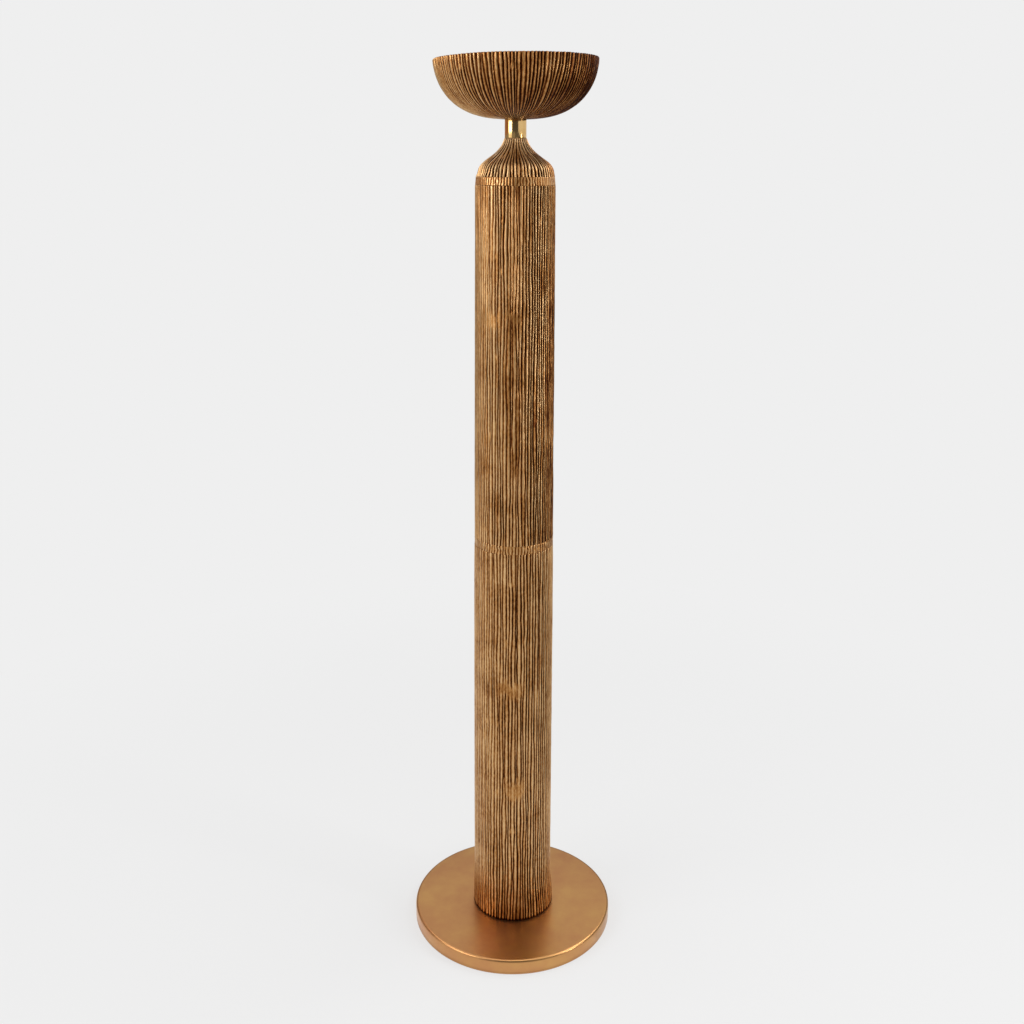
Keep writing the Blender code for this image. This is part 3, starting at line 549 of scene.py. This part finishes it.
def shoulder():
    """Ribbed dome that draws in to the neck, a dome that turns into a flare.

    At a share s of the height, r = foot + (top - foot) d / (d + balance x (1 - s)^flare), with d = s^dome,
    less what was dressed off, trim x (s / peak) x e^(1 - s / peak), more of it on the left. The grooves grow
    shallower as (r / foot)^0.2, and towards the neck the ribs gather in pairs.
    """
    low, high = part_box("shoulder_cap")
    height = high.z - low.z
    share = np.linspace(0, 1, SHOULDER_ROWS)
    rows = share[:, None]
    foot, top = radii_at("shoulder_cap", low.z)[1], radii_at("shoulder_cap", high.z)[1]

    def trim(share):
        return DOME_TRIM * share / DOME_PEAK * np.exp(1 - share / DOME_PEAK)

    def section(share):
        dome = share**SHOULDER_DOME
        full = SHOULDER_BALANCE * (1 - share) ** SHOULDER_FLARE
        return foot + (top - foot) * dome / (dome + full) - trim(share)

    ridge = section(rows)
    around = np.arange(SHOULDER_RIBS * COLUMNS_PER_RIB) / (SHOULDER_RIBS * COLUMNS_PER_RIB)
    waver = drift(around, rows, (SHOULDER_RIBS // 2, 4), 79)
    gather = ease((0.8 - ridge / foot + 0.2 * waver) / 0.35)
    angle, relief = ribs(SHOULDER_RIBS, share, 2 * height, 71, gather, merge=2, sway=0.28, uneven=0.5)
    lean = DOME_LEAN * np.cos(angle) * trim(rows)
    cut = SHOULDER_GROOVE * (ridge / foot) ** 0.2 * (1 - relief)
    outer = spun(ridge + lean - cut, low.z + rows * height, angle)
    down = np.linspace(1 - SHOULDER_PLATE / height, 0, 12)[:, None]
    inside_r = np.concatenate([np.full((2, 1), PIPE_HOLE), section(down) - SHOULDER_WALL])
    inside_z = low.z + height * np.concatenate([[[1]], down[:1], down])
    points = np.concatenate([outer, spun(inside_r, inside_z, angle[:1])])
    dark = np.zeros((len(inside_r), angle.shape[1]))
    tone = np.clip(SHOULDER_GAIN * relief - SHOULDER_DARK, 0, 1)
    # Painted side light, and painted shade on the far +X side
    tone = tone_with_painted_light(tone, angle, SHOULDER_PAINTED_SIDE_LIGHT, SHOULDER_PAINTED_LIMB_SHADE)
    tone = np.concatenate([tone, dark])
    skin("shoulder_chased", points, "ribbed_brass", "shoulder_cap", relief=tone)


def bowl():
    """Ribbed bowl: from seat to rim a superellipse, r = R cos^(2/side) t and drop = D sin^(2/down) t.

    Grooves are cut along the section's normal and fade towards the seat, where the ribs gather in threes.
    The rim rolls over in a half round, notched by the grooves and lower on the left by
    lean x (1 - cos angle) / 2, and the inside is the same section, smooth and one wall smaller.
    """
    low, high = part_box("bowl")
    radius, depth = high.x, high.z - low.z
    seat_turn = math.acos((BOWL_SEAT / radius) ** (BOWL_SIDE / 2))
    share = np.linspace(0, 1, BOWL_ROWS)
    turn = seat_turn * (1 - share)[:, None]

    def section(turn, radius, depth):
        r, drop = np.cos(turn) ** (2 / BOWL_SIDE), np.sin(turn) ** (2 / BOWL_DROP)
        across = BOWL_SIDE * r ** (BOWL_SIDE - 1) / radius
        down = BOWL_DROP * drop ** (BOWL_DROP - 1) / depth
        steep = np.hypot(across, down)
        return radius * r, -depth * drop, across / steep, -down / steep

    r, z, normal_r, normal_z = section(turn, radius, depth)
    around = np.arange(BOWL_RIBS * COLUMNS_PER_RIB) / (BOWL_RIBS * COLUMNS_PER_RIB)
    waver = drift(around, share[:, None], (BOWL_RIBS // 3, 4), 49)
    gather = ease((0.4 - r / radius + 0.08 * waver) / 0.25)
    angle, relief = ribs(BOWL_RIBS, share, BOWL_ARC, 41, gather, width=0.7, sway=0.32, uneven=0.6)
    fade = np.sqrt(np.clip((r - BOWL_SEAT) / (radius - BOWL_SEAT), 0, 1))
    cut = BOWL_GROOVE * fade * (1 - relief)
    z = z - (z[0] + depth) * (1 - share)[:, None]
    outer_r, outer_z = r - normal_r * cut, z - normal_z * cut
    lip = np.linspace(0.15, 1, 6)[:, None] * math.pi
    lip_r = outer_r[-1:] - BOWL_WALL / 2 * (1 - np.cos(lip))
    inner_turn = math.acos((BOWL_SEAT / (radius - BOWL_WALL)) ** (BOWL_SIDE / 2))
    inner_share = np.linspace(0.04, 1, 22)[:, None]
    inner_r, inner_z, *_ = section(inner_turn * inner_share, radius - BOWL_WALL, depth - BOWL_FLOOR)
    inner_z = inner_z + (-depth + BOWL_FLOOR - inner_z[-1]) * inner_share
    wave = RIM_WAVE * (0.5 + 0.5 * drift(angle[-1:] / TURN, 0 * share[:1, None], (34, 2), 47))
    wave = wave + RIM_LEAN * (1 - np.cos(angle[-1:])) / 2 + RIM_NOTCH * (1 - relief[-1:])
    columns = angle.shape[1]
    heights = np.concatenate([
        np.full((1, columns), -depth),
        np.broadcast_to(outer_z, outer_r.shape),
        BOWL_WALL / 2 * np.sin(lip) + np.zeros((1, columns)),
        np.broadcast_to(inner_z, (len(inner_z), columns)),
        np.full((1, columns), BOWL_FLOOR - depth),
    ])
    rolled = heights - BOWL_WALL / 2 * ease(1 + heights / ROLL_REACH) - wave * ease(1 + heights / LEAN_REACH)
    radii = np.concatenate([
        np.full((1, columns), PIPE_HOLE),
        outer_r,
        lip_r,
        np.broadcast_to(inner_r, (len(inner_r), columns)),
        np.full((1, columns), PIPE_HOLE),
    ])
    past_rim = len(lip) + len(inner_r) + 1
    angles = np.concatenate([angle[:1], angle, np.repeat(angle[-1:], past_rim, axis=0)])
    points = spun(radii, high.z + rolled, angles)
    shown = np.concatenate([relief[:1], relief, np.repeat(0.8 * relief[-1:], past_rim, axis=0)])
    # Painted side light, and painted shade on the far +X side
    tone = tone_with_painted_light(BOWL_WORN * shown, angles, BOWL_PAINTED_SIDE_LIGHT, BOWL_PAINTED_LIMB_SHADE)
    lining = ("satin_brass", 1 + BOWL_ROWS + len(lip) - 1)
    skin("bowl_chased", points, "ribbed_brass", "bowl", relief=tone, lining=lining)


def ring(inner, outer, low, high, edge):
    """Corners of a plain ring's outline, all eased alike."""
    return [(inner, low, edge), (outer, low, edge), (outer, high, edge), (inner, high, edge)]


def turned(name, node, corners, slot, sides=160, body="lamp", steps=6):
    """A lathe-turned piece: a closed outline of eased corners spun round the axis."""
    outline = rounded(corners, steps)
    points = spun(outline[:, :1], outline[:, 1:], round_angles(sides))
    skin(name, points, slot, node, body)


def base():
    """Spun pan with a soft top edge, and the felt ring under it."""
    low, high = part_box("base_cover")
    outside, wall = high.x, 3 * MM
    corners = [
        (outside, low.z, 0.4 * MM),
        (outside, high.z, 6.5 * MM),
        (PIPE_HOLE, high.z, 0.3 * MM),
        (PIPE_HOLE, high.z - wall, 0.3 * MM),
        (outside - wall, high.z - wall, 3 * MM),
        (outside - wall, low.z, 0.4 * MM),
    ]
    turned("base_cover_spun", "base_cover", corners, "satin_brass", sides=320, steps=9)
    low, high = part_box("floor_pad")
    inner = radii_at("floor_pad", low.z)[0]
    corners = ring(inner, high.x, low.z, high.z, 0.3 * MM)
    turned("floor_pad_felt", "floor_pad", corners, "felt", sides=200, steps=3)


def sleeve(name, node, slot, edge, sides=120):
    """A plain ring between a node's least and greatest radius, with eased edges."""
    low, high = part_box(node)
    inner, outer = radii_at(node, low.z)
    turned(name, node, ring(inner, outer, low.z, high.z, edge), slot, sides, steps=4)


def cable_bushing():
    """Moulded sleeve with a rounded flange, turned about Y: a lathe's point (x, y, z) goes to (x, z, -y)."""
    low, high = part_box("cord_bushing")
    flange, sleeve_radius, bore = high.x, 5.5 * MM, 3.75 * MM
    face, tail = high.y, low.y
    corners = [
        (bore, tail, 0.3 * MM),
        (sleeve_radius, tail, 0.5 * MM),
        (sleeve_radius, face - 2 * MM, 0.1 * MM),
        (flange, face - 2 * MM, 0.3 * MM),
        (flange, face - 0.8 * MM, 0.6 * MM),
        (sleeve_radius, face, 0.8 * MM),
        (bore, face, 0.5 * MM),
    ]
    outline = rounded(corners)
    upright = spun(outline[:, :1], outline[:, 1:], round_angles(72))
    points = np.stack([upright[..., 0], upright[..., 2], (low.z + high.z) / 2 - upright[..., 1]], axis=-1)
    skin("cord_bushing_moulded", points, "black_rubber", "cord_bushing")


def lock_nut():
    """Hexagon nut: radius = flat / cos(angle from the flat's middle), its corners cut by a 30 degree cone."""
    low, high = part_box("bowl_locknut")
    corner = radii_at("bowl_locknut", low.z)[1]
    flat = corner * math.cos(TURN / 12)
    angle = round_angles(120)
    hexagon = flat / np.cos((angle + TURN / 12) % (TURN / 6) - TURN / 12)
    chamfer = flat + np.array([0, 0.9, 0.9, 0])[:, None] * MM
    heights = np.array([0, 0.5 * MM, high.z - low.z - 0.5 * MM, high.z - low.z])[:, None]
    outer = spun(np.minimum(hexagon, chamfer), low.z + heights, angle)
    bore = spun(np.array([[PIPE_HOLE], [PIPE_HOLE]]), np.array([[high.z], [low.z]]), angle)
    skin("bowl_locknut_plated", np.concatenate([outer, bore]), "plated_steel", "bowl_locknut")


def lampholder():
    """Brass cup with a rolled bead at its mouth, and the porcelain sleeve with two shallow grip rings."""
    low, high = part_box("lampholder_cap")
    outer, wall, floor = high.x, 1.5 * MM, 2.5 * MM
    corners = [
        (PIPE_HOLE, low.z, 0.3 * MM),
        (outer, low.z, 4 * MM),
        (outer, high.z, 0.6 * MM),
        (outer - wall, high.z, 0.6 * MM),
        (outer - wall, low.z + floor, 1.5 * MM),
        (PIPE_HOLE, low.z + floor, 0.3 * MM),
    ]
    turned("lampholder_cap_spun", "lampholder_cap", corners, "polished_brass", sides=144)
    low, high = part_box("lampholder_body")
    inner, outer = radii_at("lampholder_body", low.z)
    up = np.linspace(0, 1, 60)
    rings = 0.5 * MM * (np.exp(-(((up - 0.3) / 0.04) ** 2)) + np.exp(-(((up - 0.7) / 0.04) ** 2)))
    rim = 1.2 * MM * (1 - np.sqrt(np.clip(1 - np.clip((up - 0.95) / 0.05, 0, 1) ** 2, 0, 1)))
    side = spun((outer - rings - rim)[:, None], (low.z + up * (high.z - low.z))[:, None], round_angles(144))
    bore = spun(np.array([[inner], [inner]]), np.array([[high.z], [low.z]]), round_angles(144))
    skin("lampholder_body_glazed", np.concatenate([side, bore]), "porcelain", "lampholder_body")


def thread(angle, z):
    """Rolled round thread, 0 at a crest and 1 in a root: (1 - cos turn (z / pitch - angle / turn)) / 2."""
    return (1 - np.cos(TURN * (z / THREAD_PITCH) - angle)) / 2


def screw_shell():
    """Brass shell rolled to the bulb's thread, both walls following the same helix."""
    low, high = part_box("lampholder_screw_shell")
    inner, outer = radii_at("lampholder_screw_shell", low.z)
    angle = round_angles(96)
    z = np.linspace(low.z, high.z, 84)[:, None]
    waved = THREAD_DEPTH * thread(angle, z)
    outside, inside = spun(outer - waved, z, angle), spun(inner - waved, z, angle)
    points = np.concatenate([outside, inside[::-1]])
    skin("lampholder_shell_rolled", points, "polished_brass", "lampholder_screw_shell")


def bulb():
    """Bulb: a tip contact, a cap rolled with the shell's helix, and a frosted ball blown on a neck."""
    low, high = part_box("bulb_tip")
    corners = [(0, low.z, 0), (high.x, low.z, 1.2 * MM), (high.x, high.z, 0.2 * MM), (0, high.z, 0)]
    turned("bulb_tip_soldered", "bulb_tip", corners, "nickel_cap", sides=48, body="bulb_lift")

    low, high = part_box("bulb_cap")
    crest, cone, tip = high.x, 6 * MM, 4.5 * MM
    z = np.linspace(low.z + cone, high.z, 78)[:, None]
    angle = round_angles(96)
    plain = ease((z - low.z - cone) / (2 * MM)) * ease((high.z - z) / (3 * MM))
    wall = spun(crest - THREAD_DEPTH * (1 - plain + plain * thread(angle, z)), z, angle)
    ends_r = np.array([[0], [tip], [crest - 2 * MM]])
    ends_z = low.z + np.array([[0], [0], [0.7 * cone]])
    lid = spun(np.array([[0.0]]), np.array([[high.z]]), angle)
    points = np.concatenate([spun(ends_r, ends_z, angle), wall, lid])
    skin("bulb_cap_rolled", points, "nickel_cap", "bulb_cap", body="bulb")

    low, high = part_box("bulb_globe")
    ball, glass, neck = high.x, 1.2 * MM, 12.5 * MM
    centre = high.z - ball
    start = -math.acos(neck / ball)
    rise = np.linspace(start, TURN / 4, 60)[:, None]
    drop = np.linspace(TURN / 4, start, 40)[:, None]
    inside = ball - glass
    radii = np.concatenate([[[neck]], ball * np.cos(rise), inside * np.cos(drop), [[neck - glass]]])
    radii[np.abs(radii) < 1e-9] = 0
    outer_z, inner_z = centre + ball * np.sin(rise), centre + inside * np.sin(drop)
    heights = np.concatenate([[[low.z]], outer_z, inner_z, [[low.z]]])
    points = spun(radii, heights, round_angles(96))
    skin("bulb_globe_frosted", points, "frosted_glass", "bulb_globe", body="bulb")


def seen_rays(tree):
    """1 for the rays that show the backdrop: the camera's, and those from mirrors and through glass."""
    path = add(tree, "LightPath").outputs
    seen = add(tree, "Math", {0: path["Is Camera Ray"], 1: path["Is Glossy Ray"]}, operation="MAXIMUM")
    through = {0: seen.outputs[0], 1: path["Is Transmission Ray"]}
    return add(tree, "Math", through, operation="MAXIMUM").outputs[0]


def studio_floor():
    """A pale floor that shows the backdrop's tone.

    Near the lamp 0.3 of that tone is paint that takes the light and so keeps a faint shadow; the share eases
    to none as the distance from the lamp grows from 0.4 to 2.0 m.
    """
    mesh = bpy.data.meshes.new("floor")
    corners = [(x * FLOOR_REACH, y * FLOOR_REACH, 0) for x, y in ((-1, -1), (1, -1), (1, 1), (-1, 1))]
    mesh.from_pydata(corners, [], [(0, 1, 2, 3)])
    floor = bpy.data.objects.new("floor", mesh)
    bpy.context.scene.collection.objects.link(floor)
    material = bpy.data.materials.new("matt_white_paint")
    material.use_nodes = True
    tree = material.node_tree
    tree.nodes.clear()
    seen = seen_rays(tree)
    place = add(tree, "TexCoord").outputs["Object"]
    distance = add(tree, "VectorMath", {0: place}, operation="LENGTH").outputs["Value"]
    fade = {0: distance, 1: 0.4, 2: 2.0, 3: 0.7, 4: 1.0}
    plain = add(tree, "MapRange", fade, interpolation_type="SMOOTHSTEP")
    share = add(tree, "Math", {0: seen, 1: plain.outputs[0]}, operation="MULTIPLY")
    paint = add(tree, "BsdfDiffuse", {"Color": linear(FLOOR_PAINT)})
    glow = add(tree, "Emission", {"Color": linear(BACKDROP), "Strength": 1.0})
    both = add(tree, "MixShader", {0: share.outputs[0], 1: paint.outputs[0], 2: glow.outputs[0]})
    add(tree, "OutputMaterial", {"Surface": both.outputs[0]})
    mesh.materials.append(material)


def studio_world():
    """The backdrop's tone all round, and a weaker white fill for the light that falls on matt surfaces."""
    world = bpy.data.worlds.new("studio")
    bpy.context.scene.world = world
    world.use_nodes = True
    tree = world.node_tree
    tree.nodes.clear()
    seen = seen_rays(tree)
    fill = add(tree, "Background", {"Color": linear("#FFFFFF"), "Strength": 0.6})
    pale = add(tree, "Background", {"Color": linear(BACKDROP), "Strength": 1.0})
    both = add(tree, "MixShader", {0: seen, 1: fill.outputs[0], 2: pale.outputs[0]})
    add(tree, "OutputWorld", {"Surface": both.outputs[0]})


def reflector_cards():
    """Curved cards that only the metal's reflections see: grey ones darken a side, and white ones lift it.

    Each stands round the axis between two angles from the front, from one (radius, height) to another.
    """
    for name, start, end, low, high, tone in (
        ("card_front", -39, 28, (3.2, 1.45), (3.2, 5.5), "#5A5A5A"),
        ("card_front_left", -42, -5, (3.2, 0.0), (3.2, 1.45), "#9E9E9E"),
        ("card_front_right", -5, 38, (3.2, 0.0), (3.2, 1.45), "#707070"),
        ("card_left_high", -150, -77, (3.2, 1.45), (3.2, 2.6), "#A87C60"),
        ("card_left", -150, -77, (3.2, 0.0), (3.2, 1.45), "#9C9C9C"),
        ("card_back", 150, 210, (3.2, 0.0), (3.2, 1.45), "#7C7C7C"),
        ("card_right_high", 45, 150, (3.2, 2.6), (3.2, 2.9), "#505050"),
        ("card_right_low", 38, 150, (3.2, 0.0), (3.2, 1.25), "#3C3C3C"),
        ("card_right_floor", 40, 150, (0.6, 0.004), (3.2, 0.004), "#C8C8C8"),
        ("card_base_floor", -110, 60, (0.212, 0.004), (0.285, 0.004), "#FFFFFF"),
    ):
        angle = np.radians(np.linspace(start, end, CARD_COLUMNS))[None, :] - TURN / 4
        radius, height = np.array([low, high]).T[:, :, None]
        points = spun(radius, height, angle).reshape(-1, 3)
        quads = np.arange(CARD_COLUMNS - 1)[:, None] + np.array([[1, 0, CARD_COLUMNS, CARD_COLUMNS + 1]])
        mesh = bpy.data.meshes.new(name)
        mesh.from_pydata(points, [], quads.tolist())
        cloth = bpy.data.materials.new(name + "_cloth")
        cloth.use_nodes = True
        cloth.node_tree.nodes.clear()
        glow = add(cloth.node_tree, "Emission", {"Color": linear(tone)})
        add(cloth.node_tree, "OutputMaterial", {"Surface": glow.outputs[0]})
        mesh.materials.append(cloth)
        card = bpy.data.objects.new(name, mesh)
        card.visible_camera = False
        card.visible_diffuse = False
        card.visible_shadow = False
        card.visible_transmission = False
        bpy.context.scene.collection.objects.link(card)


def studio_lamps():
    """Soft area lamps: left and right of the lamp, above it, and a narrow strip for the right edge."""
    for name, place, aim, size, power in (
        ("softbox_left", (-2.13, -1.31, 2.1), (0, 0, 2.1), (1.67, 1.2), 30),
        ("softbox_left_low", (-2.13, -1.31, 0.8), (0, 0, 0.8), (1.67, 1.4), 3),
        ("softbox_high_left", (-1.96, 0.3, 2.73), (0, 0, 1.58), (2.6, 1.1), 13),
        ("softbox_high_right", (1.96, 0.3, 2.73), (0, 0, 1.58), (2.6, 1.1), 36),
        ("strip_right", (2.1, -1.0, 0.95), (0, 0, 0.95), (0.24, 0.9), 13),
        ("overhead", (0, -0.4, 3.4), (0, 0, 0.5), (1.6, 1.6), 12),
    ):
        lamp = bpy.data.lights.new(name, "AREA")
        lamp.shape = "RECTANGLE"
        lamp.size, lamp.size_y = size
        lamp.energy = power
        light = bpy.data.objects.new(name, lamp)
        light.location = place
        light.visible_camera = False
        light.rotation_euler = (Vector(aim) - Vector(place)).to_track_quat("-Z", "Y").to_euler()
        bpy.context.scene.collection.objects.link(light)


def camera():
    """The photograph's camera: level with the shoulder, tilted down, with a slight roll."""
    lens = bpy.data.cameras.new("camera")
    lens.lens, lens.sensor_width = CAMERA_LENS, 36.0
    lens.shift_x, lens.shift_y = CAMERA_SHIFT
    eye = bpy.data.objects.new("camera", lens)
    tilt = Matrix.Rotation(TURN / 4 - CAMERA_PITCH, 4, "X") @ Matrix.Rotation(CAMERA_ROLL, 4, "Z")
    eye.matrix_world = Matrix.Translation(CAMERA_PLACE) @ tilt
    bpy.context.scene.collection.objects.link(eye)
    bpy.context.scene.camera = eye


def dress_solids():
    """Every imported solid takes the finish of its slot; those that a piece replaces stay hidden."""
    for part in frame["record"]["subparts"]:
        mesh = frame["nodes"][part["node"]].data
        mesh.materials.clear()
        mesh.materials.append(FINISHES[part["material_slot"]])


bpy.context.scene.view_settings.view_transform = "Standard"
dress_solids()
base()
cable_bushing()
# The last two numbers of each length paint side light into its colour, and shade on its far +X side; below
# zero they work the other way
column_length("lower_column", 11, uneven=0.5, cut=0.92, painted_side_light=-0.05, dull=-0.06)
band("joint_ring", 21)
column_length("upper_column", 31, uneven=0.8, cut=1.0, painted_side_light=0.02, dull=0.2)
band("shoulder_ring", 61)
shoulder()
sleeve("neck_tube_polished", "neck_tube", "polished_brass", 0.5 * MM, sides=160)
bowl()
sleeve("bowl_washer_turned", "bowl_washer", "polished_brass", 0.4 * MM)
lock_nut()
lampholder()
screw_shell()
bulb()
studio_floor()
studio_world()
reflector_cards()
studio_lamps()
camera()
